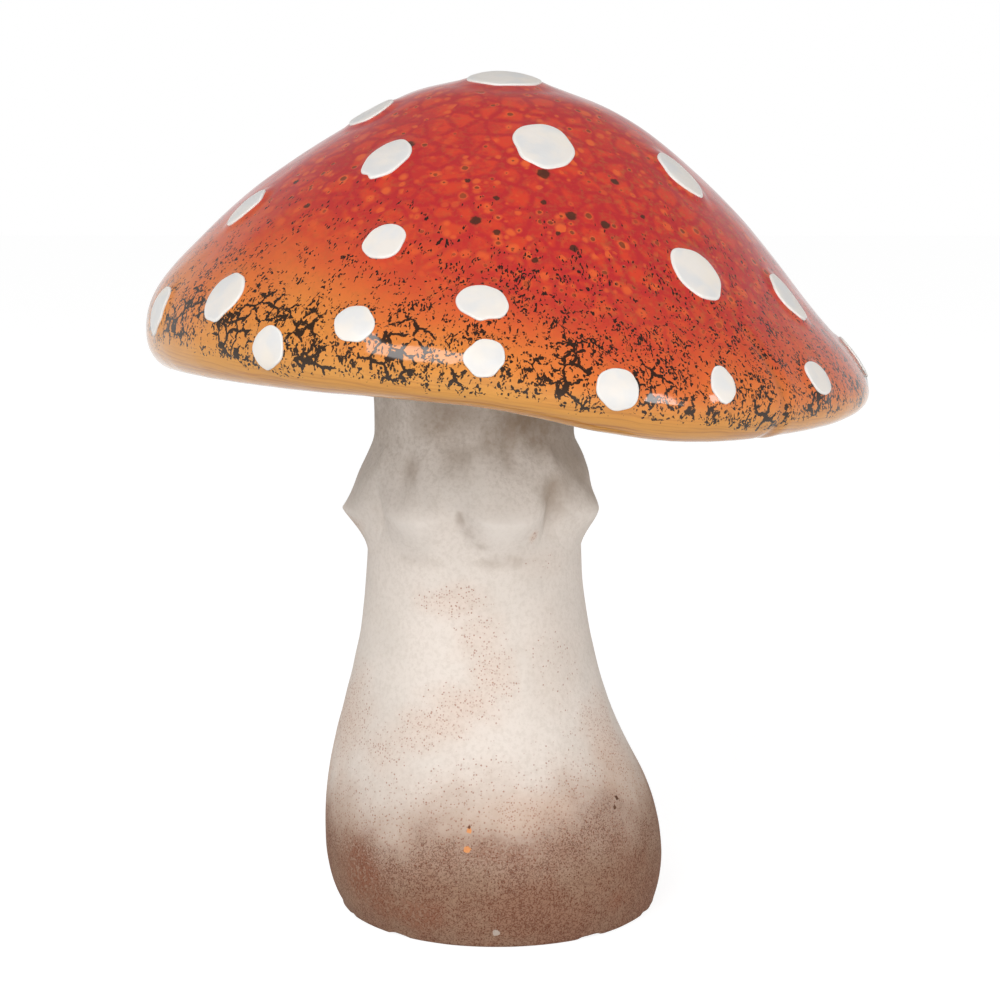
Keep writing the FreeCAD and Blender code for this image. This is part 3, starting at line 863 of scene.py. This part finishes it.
# The stem is a hollow casting in red clay under a chalky white wash.  The wash is rubbed thin in places, so
# that the clay shows through its pores, and it fades into brown towards the foot, which has a vent hole.
stem_columns = 256
stem_rows = 220
stem_bottom = 0.0012
neck_height = 0.1606
neck_lean = -0.007
neck_step = 0.0008
shoulder_radius = 0.027
spigot_radius = 0.020
spigot_length = 0.016
vent_radius = 0.004
vent_offset = 0.020
vent_depth = 0.006
pressed = (
    # azimuth, height, half width in degrees, half height, depth (less than zero stands out)
    (-126, 0.131, 4.5, 0.006, 0.0008), (-101, 0.137, 7, 0.009, 0.0006), (-98, 0.117, 1.7, 0.003, 0.0007),
    (-94, 0.113, 2.3, 0.002, 0.0006), (-71, 0.136, 5, 0.007, 0.0012), (-49, 0.121, 6, 0.008, 0.0012),
    (-56, 0.143, 12, 0.007, 0.0008), (-88, 0.131, 9, 0.009, -0.0005), (-115, 0.13, 7, 0.009, -0.0004),
    (-120, 0.113, 10, 0.006, -0.0006), (-76, 0.113, 10, 0.006, -0.0007), (20, 0.132, 6, 0.008, 0.001),
    (-20, 0.126, 9, 0.0025, 0.0008), (64, 0.136, 7, 0.008, 0.0011), (112, 0.13, 6, 0.009, 0.001),
    (160, 0.135, 7, 0.008, 0.0011),
)
foot_chip = 0.0006
lean_start = 0.62
straight_start = 0.60
outside_reach = 0.12
ray_start = 0.075
foot_line = (
    # share of the way out, and height
    (0.994, 0.0005), (0.983, 0.0001), (0.970, 0.0), (0.90, 0.0), (0.86, 0.0008), (0.60, 0.0009),
    (0.30, 0.0009), (0.08, 0.0009),
)
foot_middle = 0.0009
neck_reach = 0.033
foot_growth = 0.017
foot_growth_top = 0.075
stem_axis = -0.006


def cast_rings(surface, heights, columns):
    """A round piece's skin in rings, measured on the CAD pieces from outside."""
    rings = np.zeros((len(heights), columns, 3))
    for j, height in enumerate(heights):
        way_up = height / neck_height
        lean = math.radians(cap_tilt) * min(max((way_up - lean_start) / (1 - lean_start), 0), 1)
        ahead = Vector((math.cos(lean), 0, -math.sin(lean)))
        left = surface.ray_cast(Vector((-outside_reach, 0, height)), Vector((1, 0, 0)))[0]
        right = surface.ray_cast(Vector((outside_reach, 0, height)), Vector((-1, 0, 0)))[0]
        across = neck_lean if way_up > straight_start else (left.x + right.x) / 2
        middle = Vector((across, 0, height))
        for i in range(columns):
            angle = 2 * math.pi * i / columns
            outward = ahead * math.cos(angle) + Vector((0, 1, 0)) * math.sin(angle)
            rings[j, i] = surface.ray_cast(middle + outward * ray_start, -outward)[0]
    return rings


def hollows(points):
    """How deep the dents pressed into the neck are at points, and the outward direction there."""
    outward = points - np.array((neck_lean, 0, 0))
    outward[..., 2] = 0
    outward /= np.linalg.norm(outward, axis=-1, keepdims=True)
    azimuth = np.degrees(np.arctan2(outward[..., 1], outward[..., 0]))
    depth = np.zeros(points.shape[:-1])
    for middle, height, half_width, half_height, most in pressed:
        off = turn_from(azimuth, middle)
        depth += most * np.exp(-(off / half_width) ** 2 - ((points[..., 2] - height) / half_height) ** 2)
    return depth, outward


def marked(points, places, seed):
    """How strongly listed places mark points of the stem, from 0 to 1, with uneven edges."""
    points = points.reshape(-1, 3)
    uneven = 1 + 0.35 * rough_field(points, 0.007, seed)
    mark = np.zeros(len(points))
    for azimuth, height, reach_round, reach_up, strength in places:
        radius = neck_reach + foot_growth * max(0, (foot_growth_top - height) / foot_growth_top)
        turn = math.radians(azimuth)
        centre = np.array((stem_axis + radius * math.cos(turn), radius * math.sin(turn), height))
        near = np.linalg.norm((points - centre) / (reach_round, reach_round, reach_up), axis=1) * uneven
        mark = np.maximum(mark, strength * smooth_step(np.clip((1.3 - near) / 1.1, 0, 1)))
    return mark


def vertices_of(piece):
    """The places of a piece's vertices."""
    return np.array([v.co for v in piece.data.vertices])


stem_surface = surface_of("stem_shell")
heights = np.linspace(neck_height - neck_step, stem_bottom, stem_rows)
stem_skin = cast_rings(stem_surface, heights, stem_columns)
for axis in range(3):
    stem_skin[:, :, axis] = soften(stem_skin[:, :, axis], passes=4)
depth, outward = hollows(stem_skin)
stem_skin = stem_skin - outward * depth[:, :, None]
waves = 0.00030 * (rough_field(stem_skin, 0.022, 5) - 0.8) + 0.00012 * rough_field(stem_skin, 0.007, 6)
stem_skin = stem_skin + outward * waves[:, :, None]

neck_frame = Matrix.Translation((neck_lean, 0, neck_height)) @ Matrix.Rotation(math.radians(cap_tilt), 4, "Y")
turns = np.arange(stem_columns) * 2 * math.pi / stem_columns


def neck_ring(radius, height):
    """A ring on the tilted top of the stem."""
    return circle(turns, radius, height) @ np.array(neck_frame.to_3x3()).T + np.array(neck_frame.translation)


def foot_ring(share, height):
    """A ring on the flat foot, with small chips out of its edge."""
    ring = stem_skin[-1].copy()
    middle = ring.mean(axis=0)
    chips = foot_chip * np.clip(3 * rough_field(ring, 0.005, 9) - 0.6, 0, 1) * (share > 0.96)
    ring = middle + (ring - middle) * share
    ring[:, 2] = height + chips
    return ring


foot = [foot_ring(share, height) for share, height in foot_line]
top = [neck_ring(spigot_radius * share, spigot_length) for share in (0.3, 0.8)]
top += [neck_ring(spigot_radius, height) for height in (spigot_length - 0.001, 0.008, 0.0)]
top += [neck_ring(shoulder_radius, 0.0)]
rows = np.concatenate((np.array(top), stem_skin, np.array(foot)))
summit = np.array(neck_frame @ Vector((0, 0, spigot_length)))
stem = rows_mesh("washed_stem", rows, summit, foot_ring(0.0, foot_middle)[0])

drill_turns = np.arange(32) * 2 * math.pi / 32
drill_rows = [
    circle(drill_turns, vent_radius, height) + (0, vent_offset, 0) for height in (vent_depth, -vent_radius)
]
drill_ends = ((0, vent_offset, vent_depth), (0, vent_offset, -vent_radius))
drill = rows_mesh("vent_drill", np.array(drill_rows), *drill_ends)
cut = stem.modifiers.new("vent", "BOOLEAN")
cut.operation = "DIFFERENCE"
cut.solver = "EXACT"
cut.object = drill
drilled = bpy.data.meshes.new_from_object(stem.evaluated_get(bpy.context.evaluated_depsgraph_get()))
stem.modifiers.remove(cut)
stem.data = drilled
bpy.data.objects.remove(drill)

wash_white = (0.735, 0.663, 0.602)
wash_grey = (0.690, 0.625, 0.565)
wash_dull = (0.500, 0.425, 0.360)
painted_light_pale = (0.810, 0.745, 0.685)
neck_shade = (0.292, 0.207, 0.143)
blush = (0.600, 0.385, 0.270)
tan = (0.430, 0.275, 0.185)
foot_brown = (0.298, 0.180, 0.119)
clay_red = (0.330, 0.100, 0.048)
clay_dark = (0.128, 0.041, 0.022)
rust_brown = (0.235, 0.078, 0.040)
rubbed = (
    # azimuth, height, reach round and up, strength
    (-101, 0.094, 0.013, 0.006, 0.4), (-88, 0.084, 0.009, 0.01, 0.34), (-82, 0.074, 0.009, 0.01, 0.42),
    (-96, 0.066, 0.013, 0.007, 0.5), (-106, 0.061, 0.013, 0.006, 0.5), (-118, 0.056, 0.013, 0.006, 0.38),
    (-131, 0.052, 0.013, 0.008, 0.34), (-160, 0.056, 0.016, 0.016, 0.52), (-179, 0.047, 0.012, 0.016, 0.58),
    (-26, 0.048, 0.013, 0.022, 0.55), (-177, 0.113, 0.008, 0.005, 1), (-60, 0.1115, 0.002, 0.002, 0.8),
    (-52, 0.104, 0.01, 0.006, 0.14), (-48, 0.075, 0.014, 0.02, 0.16), (60, 0.07, 0.022, 0.014, 0.45),
    (115, 0.052, 0.018, 0.014, 0.42), (85, 0.098, 0.013, 0.009, 0.38), (-72, 0.038, 0.016, 0.007, 0.5),
)
shade_and_grime_places = (
    # the same, for painted shade in the dents and under the cap and the skirt's hem, and for grime at the
    # foot
    (-112, 0.143, 0.01, 0.008, 0.45), (-101, 0.136, 0.006, 0.008, 0.3), (-126, 0.131, 0.004, 0.006, 0.32),
    (-58, 0.143, 0.016, 0.009, 0.78), (-71, 0.135, 0.004, 0.006, 0.6), (-48, 0.123, 0.006, 0.009, 0.38),
    (-98, 0.117, 0.0015, 0.003, 0.38), (-94, 0.113, 0.002, 0.002, 0.3), (-89, 0.1095, 0.003, 0.0015, 0.28),
    (-75, 0.105, 0.011, 0.002, 0.26), (-121, 0.105, 0.009, 0.002, 0.2), (64, 0.136, 0.012, 0.01, 0.42),
    (112, 0.141, 0.014, 0.01, 0.4), (160, 0.136, 0.008, 0.009, 0.4), (20, 0.138, 0.01, 0.009, 0.4),
    (-110, 0.006, 0.01, 0.005, 0.45),
)
rusted = (
    # the same, for bare clay that fired brown
    (-136, 0.017, 0.011, 0.012, 0.62), (-128, 0.01, 0.01, 0.008, 0.45), (-112, 0.008, 0.012, 0.006, 0.5),
    (-37, 0.018, 0.008, 0.013, 0.62), (-41, 0.01, 0.006, 0.006, 0.6), (-80, 0.028, 0.014, 0.005, 0.3),
    (30, 0.018, 0.01, 0.012, 0.5), (95, 0.014, 0.014, 0.01, 0.5), (150, 0.02, 0.01, 0.012, 0.5),
)
drops = (
    # azimuth, height, half width, colour: two drops of orange glaze, three dark specks and a chip
    (-95.5, 0.0335, 0.0008, (0.700, 0.290, 0.110)), (-96.5, 0.0285, 0.0010, (0.700, 0.290, 0.110)),
    (-37.0, 0.0375, 0.0007, (0.110, 0.050, 0.030)), (-40.0, 0.0350, 0.0006, (0.130, 0.060, 0.035)),
    (-95.0, 0.0342, 0.0005, (0.150, 0.060, 0.035)), (-89.5, 0.0050, 0.0011, (0.470, 0.390, 0.330)),
)
add_values(stem, "dent", hollows(vertices_of(stem))[0])
add_values(stem, "rub", marked(vertices_of(stem), rubbed, 51))
add_values(stem, "shade_and_grime", marked(vertices_of(stem), shade_and_grime_places, 52))
add_values(stem, "rust", marked(vertices_of(stem), rusted, 53))


def stipple(place, scale, density):
    """Small round pores.  Their share of the places for one is the density."""
    away, draws = round_cells(place, scale)
    size = ramp(calc("SUBTRACT", density, draws[0]), 0.0, 0.25, 0.0, 0.42)
    dot = ramp(calc("SUBTRACT", size, away), 0.0, 0.14)
    return times(dot, ramp(draws[1], 0.0, 1.0, 0.35, 1.0))


material, tree, output = new_material("chalky wash")
place = object_place(tree)
split = node(tree, "ShaderNodeSeparateXYZ", {0: place})
up = split.outputs["Z"]
across = split.outputs["X"]
cloud = speckle(place, 45.0, 4.0, 0.6)
colour = stain(wash_white, wash_grey, ramp(cloud, 0.38, 0.66))
mottle = ramp(speckle(place, 800.0, 4.0, 0.7), 0.42, 0.66)
colour = stain(colour, wash_dull, mottle, ramp(up, 0.115, 0.140, 0.26, 0.54))
# Painted shade under the cap: the wash darkens towards the neck, less on the left side and more on the right.
shaded = plus(up, calc("SUBTRACT", cloud, 0.5), 0.05)
shaded = calc("ADD", shaded, ramp(across, -0.034, 0.030, -0.011, 0.010))
colour = stain(colour, neck_shade, ramp(shaded, 0.125, 0.150, 0.0, 0.56))
dent = stored(tree, "dent")
# Painted light on what stands out of the neck and the skirt: paler where the dent value is below zero.
colour = stain(colour, painted_light_pale, ramp(dent, -0.0001, -0.0009, 0.0, 0.55))
# Painted shade in the dents of the neck and the creases of the skirt.
colour = stain(colour, neck_shade, ramp(dent, 0.0002, 0.0011, 0.0, 0.30))
# Painted shade and grime, broken into patches.
shade_and_grime_patches = ramp(speckle(place, 240.0, 3.0, 0.65), 0.34, 0.62, 0.5, 1.2)
colour = stain(colour, neck_shade, stored(tree, "shade_and_grime"), shade_and_grime_patches)

foot_cloud = calc("SUBTRACT", speckle(place, 24.0, 4.0, 0.6), 0.5)
fade_height = plus(up, foot_cloud, 0.038)
fade_height = calc("ADD", fade_height, ramp(across, -0.030, 0.030, 0.003, -0.004))
colour = stain(colour, tan, ramp(fade_height, 0.054, 0.028, 0.0, 0.64))
brown = ramp(fade_height, 0.046, 0.014)
colour = stain(colour, foot_brown, brown)
thin_wash = ramp(speckle(place, 32.0, 3.0, 0.6), 0.56, 0.80, 0.0, 0.16)
worn = calc("MAXIMUM", stored(tree, "rub"), thin_wash)
colour = stain(colour, blush, worn, 0.55)
above_foot = ramp(fade_height, 0.064, 0.028, 0.0, 0.90)
pore_share = calc("MAXIMUM", times(worn, 2.3), above_foot)
pores = stipple(shake(place, 700.0, 0.0006), 1450.0, pore_share)
pore_colour = stain(clay_red, clay_dark, brown)
colour = stain(colour, pore_colour, pores, ramp(brown, 0.0, 1.0, 0.62, 0.90))
rough_clay = speckle(shake(place, 700.0, 0.0008), 1050.0, 2.0, 0.55)
baked = ramp(speckle(place, 60.0, 3.0, 0.6), 0.38, 0.62)
colour = stain(colour, rust_brown, baked, brown, 0.30)
foot_pores = ramp(fade_height, 0.054, 0.020, -0.058, 0.030)
foot_pores = plus(foot_pores, baked, 0.022)
worms = calc("ABSOLUTE", calc("SUBTRACT", rough_clay, 0.5))
worms = ramp(calc("SUBTRACT", foot_pores, worms), -0.004, 0.022)
colour = stain(colour, clay_dark, worms, 0.72)
colour = stain(colour, rust_brown, stored(tree, "rust"), ramp(rough_clay, 0.40, 0.56, 0.25, 1.15))
ragged = shake(place, 900.0, 0.0010)
for azimuth, height, half_width, drop_colour in drops:
    column = round((azimuth % 360) / 360 * stem_columns)
    row = int(np.abs(stem_skin[:, column, 2] - height).argmin())
    drop = spot_at(ragged, stem_skin[row, column], half_width * 1.1, half_width * 0.8)
    colour = stain(colour, drop_colour, drop)
roughness = ramp(cloud, 0.3, 0.7, 0.80, 0.92)
bumps = [
    (speckle(place, 1400.0, 2.0, 0.6), 0.00006), (pores, -0.00006), (worms, -0.00005),
    (speckle(place, 260.0, 3.0), 0.00024),
]
finish_surface(output, colour, roughness, bumps, {"Specular IOR Level": 0.25})
chalky_wash = material
stem.data.materials.clear()
stem.data.materials.append(chalky_wash)
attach(stem, "root")
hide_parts("stem_shell")

# The neck lute is a fillet of slip under the same wash as the stem.  It fills the corner between the neck
# and the gill plate, and it was pressed in before the firing.
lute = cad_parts["neck_lute"]
lute.data.materials.clear()
lute.data.materials.append(chalky_wash)

# The skirt is a ring of clay laid round the neck and smoothed on at its top.  It was pulled down into seven
# soft lobes, and it has the same wash as the stem.
skirt_columns = 360
skirt_rows = 84
skirt_top = 0.1440
skirt_root = 0.0012
hem_radius = 0.034
hem_probes = (0.0325, 0.0335, 0.0345, 0.0355)
probe_height = 0.09
probe_length = 0.04
hem_overhang = 0.002
skirt_ray_start = 0.07
skirt_sink = 0.0001
skirt_waves = 0.0004
hem_softness = 0.30
top_softness = 0.50
hem_unevenness = 0.0016
lobe_unevenness = 0.22
lobe_start = 0.30
lobe_full = 0.80
crease_shade = 0.35
pulled_tips = (
    # azimuth, height, reach round in degrees, reach up, how far out
    (-175, 0.1165, 8.0, 0.0045, 0.0014),
    (-20, 0.1185, 7.0, 0.0040, 0.0007),
)

skirt_surface = surface_of("skirt_collar")
both = surface_of("skirt_collar", "stem_shell")
stem_faces = [p.vertices for p in stem.data.polygons]
stem_finish = BVHTree.FromPolygons([v.co for v in stem.data.vertices], stem_faces)
turns = np.arange(skirt_columns) * 2 * math.pi / skirt_columns
ways = circle(turns)
middle = Vector((neck_lean, 0, 0))
hem = np.zeros(skirt_columns)
for i in range(skirt_columns):
    lowest = []
    for out in hem_probes:
        start = middle + Vector(ways[i]) * out + Vector((0, 0, probe_height))
        hit = skirt_surface.ray_cast(start, Vector((0, 0, 1)), probe_length)[0]
        if hit:
            lowest.append(hit.z)
    hem[i] = min(lowest) - hem_overhang
hem = soften(hem[None, :], passes=14)[0]
hem += hem_unevenness * rough_field(ways * hem_radius, 0.014, 21)
inner = np.zeros((skirt_rows, skirt_columns, 3))
thickness = np.zeros((skirt_rows, skirt_columns))
for j in range(skirt_rows):
    share = j / (skirt_rows - 1)
    for i in range(skirt_columns):
        outward = Vector(ways[i])
        height = skirt_top + (hem[i] - skirt_top) * share
        start = middle + outward * skirt_ray_start + Vector((0, 0, height))
        near = both.ray_cast(start, -outward)[0]
        far = stem_surface.ray_cast(start, -outward)[0]
        inner[j, i] = stem_finish.ray_cast(start, -outward)[0]
        thickness[j, i] = (near - far).length
thickness = soften_down(soften(thickness, passes=8), passes=50)
shares = np.linspace(0, 1, skirt_rows)[:, None]
merged = np.fft.irfft(np.fft.rfft(thickness, axis=1)[:, :4], skirt_columns, axis=1)
parted = np.clip((shares - lobe_start) / (lobe_full - lobe_start), 0, 1)
thickness = merged + (thickness - merged) * smooth_step(parted)
to_hem = np.clip((1 - shares) / hem_softness, 0, 1)
to_top = np.clip(shares / top_softness, 0, 1)
thickness *= to_hem ** 0.8 * smooth_step(to_top)
thickness *= 1 + lobe_unevenness * rough_field(inner, 0.011, 23)
for azimuth, height, reach_round, reach_up, out in pulled_tips:
    off = np.abs(turn_from(np.degrees(turns), azimuth))[None, :] / reach_round
    thickness += out * np.exp(-off - np.abs(inner[:, :, 2] - height) / reach_up) * to_hem
outer = inner + ways[None, :, :] * (thickness - skirt_sink)[:, :, None]
waves = skirt_waves * rough_field(outer, 0.012, 12) * to_hem * to_top
outer = outer + ways[None, :, :] * waves[:, :, None]
# The dent value here also darkens the creases between the lobes as painted shade, and goes below zero on the
# lobes for painted light.
dents = hollows(outer)[0] + crease_shade * (soften(thickness, passes=120) - thickness) * to_top
root = inner[::-6] - ways[None, :, :] * skirt_root
rows = np.concatenate((outer, root))
skirt = rows_mesh("lobed_skirt", rows)
hidden = np.zeros((len(rows) - skirt_rows) * skirt_columns)
add_values(skirt, "dent", np.concatenate((dents.ravel(), hidden)))
add_values(skirt, "rub", marked(vertices_of(skirt), rubbed, 51))
add_values(skirt, "shade_and_grime", marked(vertices_of(skirt), shade_and_grime_places, 52))
skirt.data.materials.append(chalky_wash)
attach(skirt, "root")
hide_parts("skirt_collar")
